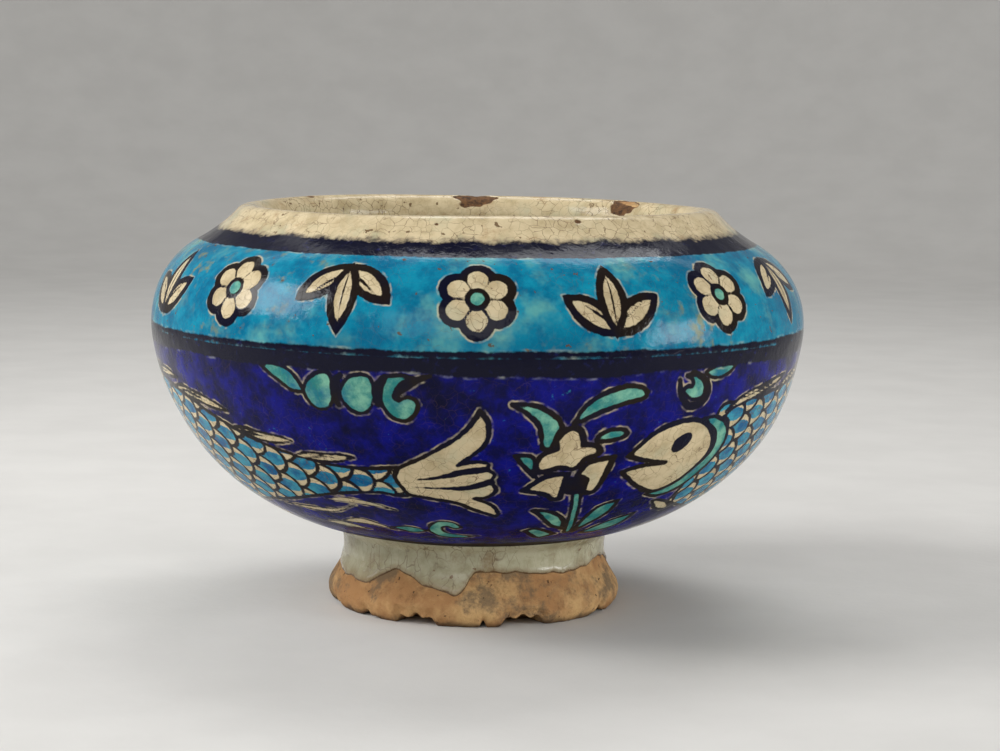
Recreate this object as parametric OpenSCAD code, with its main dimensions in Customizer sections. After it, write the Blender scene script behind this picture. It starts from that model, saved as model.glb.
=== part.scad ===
// Enamelled pottery bowl: a thrown wall, a rolled rim and a turned foot ring, luted with slip,
// under a lining glaze, ring bands of enamel and cells of coloured enamel parted by dark outlines.
// Millimetres, Z up. The origin is in the middle of the surface the foot stands on, and the front
// of the bowl faces -Y. Azimuths are counted from the front towards +X.

/* [Bowl] */
// Greatest outer diameter, over the enamel
belly_d = 180; // [170:1:190]
// Height from the table to the crest of the rim
height = 110.4; // [100:0.2:120]
// Height of the greatest diameter
belly_z = 78.5; // [72:0.5:84]
// Height of the bowl's underside, where the foot ends
foot_h = 20.64; // [18:0.02:23]
// Angle below the belly at which the lower outline takes over, under the dark waist line
waist_angle = 9.2; // [6:0.2:13]
// Thickness of the clay wall
wall = 6; // [4.5:0.25:8]

/* [Rim] */
// Diameter of the rim, crest to crest
rim_d = 127; // [122:1:130]
// Radius of the rolled crest
lip_r = 4; // [3.2:0.1:4.6]
// How far the middle of the crest stands over the shoulder's arc
crest_over = 2.3; // [1:0.1:4]
// How far the roll's inner side swells into the mouth
nose_swell = 0.8; // [0.3:0.1:2]
// Radius of the hollow between shoulder and rim
hollow_r = 43; // [25:1:60]

/* [Foot] */
// Greatest diameter of the foot
foot_d = 81.4; // [79:0.2:86]
// Diameter of the foot at its neck
foot_neck_d = 74.6; // [71:0.2:76.6]
// Radius of the rounded toe
toe_r = 5; // [4.25:0.25:6]
// Height of the toe's widest line
toe_z = 4; // [2.5:0.25:4.25]
// Radius of the hollow neck
neck_r = 18; // [15:0.5:22]
// Diameter of the hollow under the foot, at the table
foot_bore_d = 60; // [54:0.5:64]
// Diameter of the hollow under the foot, at the bowl
foot_bore_top_d = 55; // [52:0.5:60]

/* [Glaze and enamel] */
// Thickness of every glaze, enamel and slip layer
glaze = 0.5; // [0.3:0.05:0.8]
// Depth of the dark shoulder line's upper edge below the crest
shoulder_line_drop = 5.4; // [4.4:0.2:6.4]
// Height of the turquoise band's lower edge over the belly
band_low = 0.5; // [-1:0.1:2.5]
// Width of the dark line round the foot's top, along the bowl
foot_line_w = 5; // [2:0.5:8]
// Height of the foot glaze's edge between its runs
foot_glaze_z = 13.5; // [12.5:0.25:15]
// Number of runs of the foot glaze
run_n = 9; // [5:1:13]
// Width of a run
run_w = 7; // [4:0.5:9]
// Length of the longest run
run_len = 4; // [1:0.25:5]

/* [Ornament] */
// Width of the dark outline round a cell
outline_w = 1.6; // [1:0.1:2]
// Number of rosettes round the turquoise band, and of palmettes between them
rosette_n = 8; // [6:1:9]
// Number of petals of a rosette
rosette_petals = 6; // [5:1:8]
// Radius of one rosette petal
rosette_petal_r = 3.6; // [3:0.1:4]
// Room between a rosette's outline and the edges of the band
rosette_room = 2.5; // [1.5:0.1:3.5]
// Radius of a rosette's heart
rosette_heart_r = 2.4; // [1.6:0.1:3]
// Room between a palmette's tips and the edges of the band
palmette_room = 4.8; // [3.8:0.1:6]
// Width of a palmette's leaves
palmette_w = 6; // [4.5:0.25:7]
// Azimuth of the front flower; fish and flowers repeat on the far side
flower_az = 17.5; // [0:0.5:40]
// Distance of the flower's heart below the waist line, along the bowl
flower_drop = 33.8; // [31:0.2:36]
// Radius of a flower petal
flower_petal_r = 4.6; // [3.8:0.1:5.2]
// Distance of a flower petal from the heart
flower_reach = 10; // [8:0.25:11]
// Radius of the flower's heart
flower_heart_r = 3; // [2:0.1:3.6]
// Length of a fish's head, from the jaws to the gill edge
head_len = 27; // [23:0.5:29]
// Greatest height of a fish's head
head_h = 29; // [24:0.5:31]
// Radius of the gill edge
gill_r = 22; // [18:0.5:26]
// Radius of a fish's eye
eye_r = 2.2; // [1.4:0.1:3]
// Width of the collar behind a fish's gills
collar_w = 5; // [3:0.25:6]
// Height of a fish's body at its middle
body_h = 34.5; // [32:0.5:36]
// Radius of the back's outline
back_r = 100; // [98:0.5:106]
// Radius of the belly's outline
belly_r = 150; // [140:1:160]
// Radius of one fish scale
scale_r = 3.9; // [2.5:0.1:4.2]
// Spacing of the scales
scale_step = 10.5; // [10:0.25:13]
// Width of the fin along a fish's back
fin_w = 3; // [2:0.25:4]
// Length of the longest lobe of a fish's tail
tail_len = 31; // [26:0.5:32]
// Width of one lobe of a fish's tail
tail_lobe_w = 7.5; // [5:0.25:9]
// Radius of a scroll lobe under the waist line
scroll_r = 4.4; // [3.4:0.1:4.6]
// Room between the waist line and the outlines of the leaf work below it
scroll_room = 0.6; // [0.4:0.1:1.2]

/* [Hidden] */
$fn = 180;

// Points of the outline, as [radius, height]
function polar(c, r, a) = [c[0] + r * cos(a), c[1] + r * sin(a)];
function bearing(c, p) = atan2(p[1] - c[1], p[0] - c[0]);
// Angle that a length takes up on an arc of the radius r
function span(length, r) = length / r * 180 / PI;
// Point at the distance ra from a and rb from b, on the right-hand side of the way from a to b
function meet(a, ra, b, rb) =
    let (d = norm(b - a))
    let (along = (ra * ra - rb * rb + d * d) / (2 * d))
    let (aside = sqrt(ra * ra - along * along))
    let (e = (b - a) / d)
    a + along * e + aside * [e[1], -e[0]];

waist_a = -waist_angle;
shoulder_r = height - lip_r - crest_over - belly_z;
// The lower outline goes on from the shoulder's at the waist and levels out at the foot
lower_r = (belly_z + shoulder_r * sin(waist_a) - foot_h) / (1 + sin(waist_a));
shoulder_c = [belly_d / 2 - shoulder_r, belly_z];
lower_c = polar(shoulder_c, shoulder_r - lower_r, waist_a);
lip_c = [rim_d / 2, height - lip_r];
hollow_c = meet(shoulder_c, shoulder_r + hollow_r, lip_c, lip_r + hollow_r);

// How far the stretches of one layer lap, along their arcs
lap = 0.2;
// How far, in degrees, an arc runs on into the part it joins
tuck_a = 15;

// The wall with a glaze layer on each side, and the arc of the roll's inner side
depth = wall + 2 * glaze;
nose_r = (norm(lip_c - shoulder_c) - shoulder_r + depth + lip_r) / 2 + nose_swell;
nose_c = meet(shoulder_c, shoulder_r - depth + nose_r, lip_c, nose_r - lip_r);

// Angles at which one arc of the outline takes over from the next
rim_a = bearing(shoulder_c, hollow_c);
hollow_low_a = rim_a + 180;
lip_in_a = bearing(nose_c, lip_c);
throat_a = bearing(shoulder_c, nose_c);
nose_end_a = throat_a + 180 + tuck_a;
hollow_top_a = bearing(hollow_c, lip_c) + 360;
lip_out_a = bearing(lip_c, hollow_c);

// Angles of the ring bands
band_low_a = asin(band_low / shoulder_r);
band_mid_a = (rim_a + band_low_a) / 2;
band_w = shoulder_r * (rim_a - band_low_a) * PI / 180;
rosette_reach = band_w / 2 - rosette_room - outline_w - rosette_petal_r;
palmette_len = band_w - 2 * palmette_room;
shoulder_line_a = 180 - asin((height - shoulder_line_drop - hollow_c[1]) / hollow_r);
slip_a = span(glaze, shoulder_r);

// Foot
toe_c = [foot_d / 2 - toe_r, toe_z];
neck_x = foot_neck_d / 2 + neck_r;
neck_c = [neck_x, toe_z + sqrt(pow(toe_r + neck_r, 2) - pow(neck_x - toe_c[0], 2))];
toe_neck = polar(toe_c, toe_r, bearing(toe_c, neck_c));
foot_out = meet(lower_c, lower_r, neck_c, neck_r);
foot_out_a = bearing(lower_c, foot_out);
foot_line_a = foot_out_a + span(foot_line_w, lower_r);
under_z = lower_c[1] - lower_r;
run_low_z = foot_glaze_z - run_len - run_w / 2;
run_low_a = 180 + asin((neck_c[1] - run_low_z) / neck_r);
neck_top_a = bearing(neck_c, foot_out) - tuck_a;

// The drawings of the cobalt zone have their sizes for a zone of this width, along the bowl, and a
// bowl of this diameter; they shrink with a smaller one
drawn_zone_w = 73.4;
drawn_belly_d = 180;
zone_w = lower_r * (waist_a - foot_line_a) * PI / 180;
drawn = min(zone_w / drawn_zone_w, belly_d / drawn_belly_d);

// Places on the bowl, as azimuth from the flower and distance below the waist line
head_at = [20.5, 25.7];
body_at = [87.5, 13.9];
tail_at = [155.5, 26.9];
body_start_az = 20;
body_end_az = 148;

// Drawing of a fish, round those places
jaw_x = -15;
eye_at = [1, 7];
gill_c = [jaw_x + head_len - gill_r, 0];
body_top = 5;
back_c = [-9.5, body_top - back_r];
belly_c = [15, body_top - body_h - belly_r];
fin_angles = [46, 117];
scale_columns = [-5, 5];
scale_row_step = 0.85 * scale_step;
mouth_len = 0.6 * head_len;
mouth_h = 0.1 * head_h;
mouth_x = jaw_x - 0.2 * mouth_len;
tail_root = [-12, -5.5];
tail_angles = [46, 20, 0, -19];
tail_shares = [1, 0.8, 0.82, 0.9];
function back_y(x) = back_c[1] + sqrt(pow(back_r, 2) - pow(x - back_c[0], 2));
function belly_y(x) = belly_c[1] + sqrt(pow(belly_r, 2) - pow(x - belly_c[0], 2));

// Drawing of a flower, round its heart; its leaves as [foot x, foot y, turn, length, width]
petal_turns = [-32, 0, 32];
side_petal_turns = [-62, 82];
side_petal_len = flower_reach + 0.8 * flower_petal_r;
side_petal_w = 1.3 * flower_petal_r;
stem_w = 1.8;
stem_len = 20;
stem_top = -flower_heart_r - 2.5 * outline_w;
flower_leaf_list = [
    [0, stem_top - 15, 58, 11, 5],
    [0, stem_top - 16, -66, 17, 6],
    [-15.5, 12.5, -36, 15, 5],
    [2, 20, -64, 19, 6]
];

// Leaf work under the waist line, at azimuths from the flower: a leaf and a curl to either side,
// and round lobes on the left
scroll_leaf_az = [-54.5, 32.5];
scroll_leaf_len = 12;
scroll_leaf_w = 5;
scroll_leaf_turn = 70;
curl_az = [-27.5, 22];
curl_r = 0.7 * scroll_r;
curl_tip_turn = 50;
curl_tip_len = 2 * scroll_r;
lobe_az = [-43, -35.5];
lobe_drop = scroll_r + outline_w + scroll_room;
leaf_drop = scroll_leaf_w / 2 + 1.2 * outline_w + scroll_room;
curl_drop = curl_tip_len * cos(curl_tip_turn) + 1.5 * outline_w + scroll_room;

// Side leaves of a palmette: their turn and their share of the middle leaf's length
palmette_turn = 52;
palmette_side = 0.88;

// How far the cutting outlines reach past the skin, to either side
reach = 8;
far = 2 * belly_d;

// Colours of clay, glaze and enamel
clay_buff = "#b98a5c";
slip_tan = "#c9a57c";
glaze_cream = "#d9ceb0";
glaze_green = "#b9c2a2";
enamel_black = "#241f22";
enamel_turquoise = "#1c8fa8";
enamel_cobalt = "#1a1670";
enamel_leaf = "#4f9a88";
enamel_scale = "#3f86b5";

// Flat shapes

// Pie slice with its tip at c, between two angles less than a half turn apart
module slice(c, a1, a2) {
    polygon([c, polar(c, far, a1), polar(c, far, (a1 + a2) / 2), polar(c, far, a2)]);
}

// Slice of a ring round c
module arc_band(c, r1, r2, a1, a2) {
    intersection() {
        difference() {
            translate(c) circle(r2);
            translate(c) circle(r1);
        }
        slice(c, a1, a2);
    }
}

// Leaf that stands on the origin, pointed at both ends; grow widens it all round
module leaf(len, wid, grow = 0) {
    r = (len * len + wid * wid) / (4 * wid);
    intersection_for (side = [-1, 1])
        translate([side * (r - wid / 2), len / 2]) circle(r + grow);
}

// Lays a flat drawing on the skin round the centre c of its outline, seen square on at the given
// azimuth and angle, and makes it thick enough to cut the skin
module on_skin(c, r, az, a, sag = reach) {
    rotate([0, 0, az])
        translate([0, -c[0], c[1]])
            rotate([90 - a, 0, 0])
                translate([0, 0, r - glaze - sag])
                    linear_extrude(glaze + sag + reach) children();
}

// Lays a flat drawing on the cobalt zone, at a distance below the waist line
module on_lower(at, sag = reach) {
    on_skin(lower_c, lower_r, at[0], waist_a - span(drawn * at[1], lower_r), sag) scale(drawn) children();
}

module on_band(az) {
    on_skin(shoulder_c, shoulder_r, az, band_mid_a) children();
}

// Clay

// One layer of the bowl between two depths under its outer face, from the middle of the floor up
// to the ray at end_a from the shoulder's centre; its three stretches lap, so that they are one piece
module bowl_layer(from, to, end_a) {
    lap_a = span(lap, shoulder_r);
    rotate_extrude() {
        translate([0, under_z + from]) square([lower_c[0] + lap, to - from]);
        arc_band(lower_c, lower_r - to, lower_r - from, -90, waist_a);
        arc_band(shoulder_c, shoulder_r - to, shoulder_r - from, waist_a - lap_a, end_a);
    }
}

module bowl_wall() {
    color(clay_buff) bowl_layer(glaze, glaze + wall, rim_a - slip_a);
}

module rim_slip() {
    color(slip_tan) rotate_extrude()
        arc_band(shoulder_c, shoulder_r - depth + glaze, shoulder_r - glaze, rim_a - slip_a, rim_a);
}

// The roll of the rim, from the joint with the wall to the crest and down to the throat
module rim_outline() {
    difference() {
        union() {
            translate(lip_c) circle(lip_r - glaze);
            intersection() {
                translate(nose_c) circle(nose_r - glaze);
                slice(nose_c, lip_in_a, nose_end_a);
            }
            polygon([
                polar(shoulder_c, shoulder_r - depth, rim_a),
                polar(shoulder_c, shoulder_r, rim_a),
                hollow_c, lip_c, nose_c,
                polar(shoulder_c, shoulder_r - depth, throat_a)
            ]);
        }
        translate(hollow_c) circle(hollow_r + glaze);
        translate(shoulder_c) circle(shoulder_r - depth + glaze);
    }
}

module rim_collar() {
    color(clay_buff) rotate_extrude() rim_outline();
}

// The hollow under the foot, drawn on through the bowl's floor
module foot_bore_outline() {
    polygon([
        [0, -1], [foot_bore_d / 2, -1], [foot_bore_d / 2, 0], [foot_bore_top_d / 2, under_z],
        [foot_bore_top_d / 2, lower_c[1]], [0, lower_c[1]]
    ]);
}

// The bowl's underside, where the foot and its slip meet it
module underside_outline() {
    translate([0, under_z]) square([lower_c[0] + lap, lower_r]);
    translate(lower_c) circle(lower_r);
}

module foot_outline() {
    difference() {
        union() {
            intersection() {
                translate(toe_c) circle(toe_r);
                square([foot_d, neck_c[1]]);
            }
            polygon([
                [0, 0], [toe_c[0], 0], toe_c, toe_neck, neck_c,
                [neck_c[0], lower_c[1]], [0, lower_c[1]]
            ]);
        }
        translate(neck_c) circle(neck_r);
        underside_outline();
        foot_bore_outline();
    }
}

module foot_ring() {
    color(clay_buff) rotate_extrude() foot_outline();
}

module foot_slip() {
    color(slip_tan) rotate_extrude() difference() {
        union() {
            translate([0, under_z]) square([lower_c[0] + lap, glaze]);
            arc_band(lower_c, lower_r - glaze, lower_r, -90, foot_out_a);
        }
        foot_bore_outline();
    }
}

// Ring bands of glaze and enamel

module lining_glaze() {
    color(glaze_green) bowl_layer(glaze + wall, depth, throat_a);
}

module rim_glaze() {
    color(glaze_cream) rotate_extrude() {
        arc_band(hollow_c, hollow_r, hollow_r + glaze, hollow_top_a, shoulder_line_a);
        arc_band(lip_c, lip_r - glaze, lip_r, lip_out_a - span(lap, lip_r), lip_in_a);
        arc_band(nose_c, nose_r - glaze, nose_r, lip_in_a - span(lap, nose_r), throat_a + 180);
    }
}

module shoulder_line() {
    color(enamel_black) rotate_extrude()
        arc_band(hollow_c, hollow_r, hollow_r + glaze, shoulder_line_a, hollow_low_a);
}

module waist_line() {
    color(enamel_black) rotate_extrude()
        arc_band(shoulder_c, shoulder_r - glaze, shoulder_r, waist_a, band_low_a);
}

module foot_line() {
    color(enamel_black) rotate_extrude()
        arc_band(lower_c, lower_r - glaze, lower_r, foot_out_a, foot_line_a);
}

module foot_glaze_outline() {
    difference() {
        arc_band(neck_c, neck_r - glaze, neck_r, neck_top_a, run_low_a);
        translate(lower_c) circle(lower_r);
    }
}

// One run of glaze, hanging from the level edge
module glaze_run(len) {
    translate([-run_w / 2, -len]) square([run_w, len + run_len]);
    translate([0, -len]) circle(run_w / 2);
}

module foot_glaze() {
    color(glaze_green) intersection() {
        rotate_extrude() foot_glaze_outline();
        union() {
            translate([0, 0, foot_glaze_z]) cylinder(h = lower_c[1], r = foot_d);
            for (i = [0 : run_n - 1])
                rotate([0, 0, i * 360 / run_n])
                    translate([0, 0, foot_glaze_z])
                        rotate([90, 0, 0])
                            linear_extrude(foot_d) glaze_run(run_len * abs(cos(i * 100)));
        }
    }
}

// Turquoise band and its ornament

module band_skin() {
    rotate_extrude()
        arc_band(shoulder_c, shoulder_r - glaze, shoulder_r, band_low_a, rim_a);
}

module rosette_shape(grow = 0) {
    for (i = [0 : rosette_petals - 1])
        rotate(i * 360 / rosette_petals) translate([0, rosette_reach]) circle(rosette_petal_r + grow);
    circle(rosette_reach);
}

// Three leaves that fan out from one foot
module palmette_shape(grow = 0) {
    translate([0, -palmette_len / 2]) {
        leaf(palmette_len, palmette_w, grow);
        for (side = [-1, 1])
            rotate(side * palmette_turn) leaf(palmette_side * palmette_len, palmette_w, grow);
    }
}

module at_rosettes() {
    for (i = [0 : rosette_n - 1]) on_band(i * 360 / rosette_n) children();
}

// Every second palmette hangs
module at_palmettes(grow = 0) {
    for (i = [0 : rosette_n - 1])
        on_band((i + 0.5) * 360 / rosette_n)
            mirror([0, i % 2]) palmette_shape(grow);
}

module turquoise_ground() {
    color(enamel_turquoise) difference() {
        band_skin();
        at_rosettes() rosette_shape(outline_w);
        at_palmettes(outline_w);
    }
}

module band_outlines() {
    color(enamel_black) intersection() {
        band_skin();
        union() {
            at_rosettes() difference() {
                rosette_shape(outline_w);
                rosette_shape();
            }
            difference() {
                at_palmettes(outline_w);
                at_palmettes();
            }
        }
    }
}

module band_rosettes() {
    color(glaze_cream) intersection() {
        band_skin();
        at_rosettes() difference() {
            rosette_shape();
            circle(rosette_heart_r);
        }
    }
}

module rosette_hearts() {
    color(enamel_cobalt) intersection() {
        band_skin();
        at_rosettes() circle(rosette_heart_r);
    }
}

module band_palmettes() {
    color(glaze_cream) intersection() {
        band_skin();
        at_palmettes();
    }
}

// Cobalt zone: two fish and two flowers, each drawn for the first half turn and then repeated

module cobalt_skin() {
    rotate_extrude() arc_band(lower_c, lower_r - glaze, lower_r, foot_line_a, waist_a);
}

module half(k) {
    rotate([0, 0, flower_az + (k - 1) * 180]) children();
}

// Pointed outline of head and collar, from the jaws back
module cheek_shape(grow) {
    translate([jaw_x, 0]) rotate(-90) leaf(2 * head_len, head_h, grow);
}

module head_shape(grow = 0) {
    intersection() {
        cheek_shape(grow);
        translate(gill_c) circle(gill_r + grow);
    }
}

// The mouth cuts the head from the jaws back towards the cheek
module mouth_shape() {
    translate([mouth_x, 0]) rotate(-90) leaf(mouth_len, mouth_h);
}

// The collar lies behind the gill edge, one outline's width away
module collar_shape(grow = 0) {
    intersection() {
        cheek_shape(grow);
        difference() {
            translate(gill_c) circle(gill_r + outline_w + collar_w + grow);
            translate(gill_c) circle(gill_r + outline_w - grow);
        }
    }
}

module body_shape(grow = 0) {
    difference() {
        translate(back_c) circle(back_r + grow);
        translate(belly_c) circle(belly_r - grow);
    }
}

// Rows of round scales, as many as the body has room for
module scales_shape() {
    for (i = [scale_columns[0] : scale_columns[1]])
        for (j = [-1 : 1])
            let (x = (i + abs(j) / 2) * scale_step)
            let (middle = (back_y(x) + belly_y(x)) / 2)
            let (room = (back_y(x) - belly_y(x)) / 2)
            let (y = j * scale_row_step)
            if (abs(y) + scale_r + outline_w / 2 < room) translate([x, middle + y]) circle(scale_r);
}

module fin_shape(grow = 0) {
    more = span(grow, back_r);
    fin_r = back_r + outline_w;
    arc_band(back_c, fin_r - grow, fin_r + fin_w + grow, fin_angles[0] - more, fin_angles[1] + more);
}

module tail_shape(grow = 0) {
    translate(tail_root)
        for (i = [0 : len(tail_angles) - 1])
            rotate(tail_angles[i] - 90) leaf(tail_len * tail_shares[i], tail_lobe_w, grow);
}

// Three round petals above the heart and a pointed one on either side
module petals_shape(grow = 0) {
    for (turn = petal_turns) rotate(turn) translate([0, flower_reach]) circle(flower_petal_r + grow);
    for (turn = side_petal_turns) rotate(turn) leaf(side_petal_len, side_petal_w, grow);
    circle(flower_heart_r + outline_w + grow);
}

// Stem, two leaves at its foot and two that spread above the petals
module leaves_shape(grow = 0) {
    translate([-stem_w / 2 - grow, stem_top - stem_len]) square([stem_w + 2 * grow, stem_len + grow]);
    for (one = flower_leaf_list)
        translate([one[0], one[1]]) rotate(one[2]) leaf(one[3], one[4], grow);
}

// A round drop with a pointed tip
module curl_shape(grow) {
    circle(curl_r + grow);
    rotate(curl_tip_turn) leaf(curl_tip_len, curl_r, grow);
}

// Leaf work that hangs under the waist line, on either side of the flower
module scrolls(grow = 0) {
    for (side = [0, 1]) {
        on_lower([curl_az[side], curl_drop]) curl_shape(grow);
        on_lower([scroll_leaf_az[side], leaf_drop]) mirror([side, 0]) rotate(-scroll_leaf_turn)
            translate([0, -scroll_leaf_len / 2]) leaf(scroll_leaf_len, scroll_leaf_w, grow);
    }
    for (az = lobe_az) on_lower([az, lobe_drop]) circle(scroll_r + grow);
}

// The same cells as cutters, in the first half turn. Where two meet, the hinder one stops an
// outline's width short; grown by that width, they run into one another.
module head(grow = 0) {
    on_lower(head_at) difference() {
        head_shape(grow);
        if (grow == 0) mouth_shape();
    }
}

module collar(grow = 0) {
    on_lower(head_at) collar_shape(grow);
}

module body(grow = 0) {
    behind_collar_r = gill_r + collar_w + 2 * outline_w;
    difference() {
        intersection() {
            on_lower(body_at, belly_d / 4) body_shape(grow);
            linear_extrude(height) slice([0, 0], body_start_az - 90, body_end_az - 90);
        }
        on_lower(head_at, 2 * reach) translate(gill_c) circle(behind_collar_r - grow);
    }
}

module fin(grow = 0) {
    on_lower(body_at, belly_d / 4) fin_shape(grow);
}

module tail(grow = 0) {
    difference() {
        on_lower(tail_at) tail_shape(grow);
        if (grow == 0) body(outline_w);
    }
}

module petals(grow = 0) {
    on_lower([0, flower_drop], 2 * reach) petals_shape(grow);
}

module leaves(grow = 0) {
    on_lower([0, flower_drop], 2 * reach) leaves_shape(grow);
}

module cells(grow = 0) {
    for (k = [1, 2]) half(k) {
        head(grow);
        collar(grow);
        body(grow);
        fin(grow);
        tail(grow);
        petals(grow);
        leaves(grow);
        scrolls(grow);
    }
}

// Enamel in the shape of one cutter, on the half turn k
module enamel(k) {
    intersection() {
        cobalt_skin();
        half(k) children();
    }
}

module cobalt_ground() {
    color(enamel_cobalt) difference() {
        cobalt_skin();
        cells(outline_w);
    }
}

module painted_outlines() {
    color(enamel_black) difference() {
        intersection() {
            cobalt_skin();
            cells(outline_w);
        }
        cells();
    }
}

module fish_head(k) {
    color(glaze_cream) enamel(k) difference() {
        head();
        on_lower(head_at) translate(eye_at) circle(eye_r);
    }
}

module fish_eye(k) {
    color(enamel_black) enamel(k)
        on_lower(head_at) translate(eye_at) circle(eye_r);
}

module fish_collar(k) {
    color(enamel_leaf) enamel(k) collar();
}

module scales() {
    on_lower(body_at, belly_d / 4) scales_shape();
}

module fish_body(k) {
    color(glaze_cream) enamel(k) difference() {
        body();
        scales();
    }
}

module fish_scales(k) {
    color(enamel_scale) enamel(k) scales();
}

module fish_fin(k) {
    color(glaze_cream) enamel(k) fin();
}

module fish_tail(k) {
    color(glaze_cream) enamel(k) tail();
}

module flower_petals(k) {
    color(glaze_cream) enamel(k) difference() {
        petals();
        on_lower([0, flower_drop]) circle(flower_heart_r);
    }
}

module flower_heart(k) {
    color(enamel_black) enamel(k) on_lower([0, flower_drop]) circle(flower_heart_r);
}

module flower_leaves(k) {
    color(enamel_leaf) enamel(k) leaves();
}

module leaf_scrolls(k) {
    color(enamel_leaf) enamel(k) scrolls();
}

bowl_wall();
rim_collar();
rim_slip();
foot_ring();
foot_slip();
lining_glaze();
rim_glaze();
shoulder_line();
turquoise_ground();
band_outlines();
band_rosettes();
rosette_hearts();
band_palmettes();
waist_line();
cobalt_ground();
painted_outlines();
fish_head(1);  // fish_head_1
fish_head(2);  // fish_head_2
fish_eye(1);  // fish_eye_1
fish_eye(2);  // fish_eye_2
fish_collar(1);  // fish_collar_1
fish_collar(2);  // fish_collar_2
fish_body(1);  // fish_body_1
fish_body(2);  // fish_body_2
fish_scales(1);  // fish_scales_1
fish_scales(2);  // fish_scales_2
fish_fin(1);  // fish_fin_1
fish_fin(2);  // fish_fin_2
fish_tail(1);  // fish_tail_1
fish_tail(2);  // fish_tail_2
flower_petals(1);  // flower_petals_1
flower_petals(2);  // flower_petals_2
flower_heart(1);  // flower_heart_1
flower_heart(2);  // flower_heart_2
flower_leaves(1);  // flower_leaves_1
flower_leaves(2);  // flower_leaves_2
leaf_scrolls(1);  // leaf_scrolls_1
leaf_scrolls(2);  // leaf_scrolls_2
foot_line();
foot_glaze();
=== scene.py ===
# An enamelled pottery bowl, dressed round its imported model.
# Lengths are in millimetres and angles in degrees; meshes, lamps and the camera are in metres.
# An azimuth is counted from the front, -Y, towards the right, +X.
import math

import bpy
import numpy as np
from mathutils import Matrix, Vector, noise

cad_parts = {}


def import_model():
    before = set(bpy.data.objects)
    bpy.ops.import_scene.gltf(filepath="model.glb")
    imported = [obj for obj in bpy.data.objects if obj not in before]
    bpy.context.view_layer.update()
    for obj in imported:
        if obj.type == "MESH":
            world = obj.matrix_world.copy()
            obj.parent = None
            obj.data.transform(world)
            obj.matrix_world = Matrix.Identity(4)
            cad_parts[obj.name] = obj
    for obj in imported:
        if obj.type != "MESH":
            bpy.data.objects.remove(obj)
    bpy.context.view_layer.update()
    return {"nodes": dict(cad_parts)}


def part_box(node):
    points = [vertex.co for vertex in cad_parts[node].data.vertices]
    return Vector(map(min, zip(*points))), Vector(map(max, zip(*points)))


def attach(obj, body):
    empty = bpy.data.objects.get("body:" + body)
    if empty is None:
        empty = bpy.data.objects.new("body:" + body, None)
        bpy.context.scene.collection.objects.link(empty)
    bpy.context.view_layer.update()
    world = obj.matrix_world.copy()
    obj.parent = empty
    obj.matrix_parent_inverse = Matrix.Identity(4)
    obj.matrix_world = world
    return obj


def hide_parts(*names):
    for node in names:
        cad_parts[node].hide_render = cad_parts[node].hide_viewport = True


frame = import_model()

MM = 0.001

# Sizes of the bowl, as its solids have them
belly_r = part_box("waist_line")[1][0] / MM
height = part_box("rim_glaze")[1][2] / MM
foot_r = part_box("foot_ring")[1][0] / MM
belly_z = 78.5
shoulder_r = 25.6
lower_r = 64
waist_a = -9.2
wall = 6
glaze = 0.5
rim_r = 63.5
lip_r = 4
nose_swell = 0.8
hollow_r = 43
shoulder_line_z = 105
band_low_z = 79
foot_neck_r = 37.3
toe_r = 5
toe_z = 4
neck_r = 18
foot_line_w = 5
bore_r = 30
bore_top_r = 27.5

# Fineness of the meshes: rows along an outline, columns round the axis
ROW = 0.5
COLUMNS = 1024
UNDER_ROWS = 8
# Distance from a painted edge beyond which it no longer matters
FAR = 6.0


# Outlines


def polar(c, r, a):
    a = np.radians(a)
    return np.stack([c[0] + r * np.cos(a), c[1] + r * np.sin(a)], axis=-1)


def bearing(c, p):
    return math.degrees(math.atan2(p[1] - c[1], p[0] - c[0]))


def meet(a, ra, b, rb):
    """Point at the distance ra from a and rb from b, on the right-hand side of the way from a to b."""
    a = np.array(a)
    b = np.array(b)
    d = np.linalg.norm(b - a)
    along = (ra**2 - rb**2 + d**2) / (2 * d)
    aside = math.sqrt(ra**2 - along**2)
    e = (b - a) / d
    return a + along * e + aside * np.array([e[1], -e[0]])


def arc(c, r, a1, a2, step=ROW):
    """Points of an arc, about a step apart."""
    n = max(2, round(abs(math.radians(a2 - a1)) * r / step) + 1)
    return polar(c, r, np.linspace(a1, a2, n))


def straight(p, q, step=ROW):
    n = max(2, round(math.dist(p, q) / step) + 1)
    return np.linspace(p, q, n)


def chain(*stretches):
    """Stretches of an outline, one after the other, without the points that they share."""
    return np.concatenate([stretches[0]] + [s[1:] for s in stretches[1:]])


def lengths(path):
    """Distance along a path to each of its points."""
    return np.concatenate([[0], np.cumsum(np.linalg.norm(np.diff(path, axis=0), axis=1))])


def normals(path):
    """Unit vectors on the left of the way along a path."""
    t = np.gradient(path, axis=0)
    t /= np.linalg.norm(t, axis=1)[:, None]
    return np.stack([-t[:, 1], t[:, 0]], axis=-1)


def smooth(x, low, high):
    """0 up to low, 1 from high on, and a smooth change between them."""
    t = np.clip((x - low) / (high - low), 0, 1)
    return t * t * (3 - 2 * t)


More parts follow.
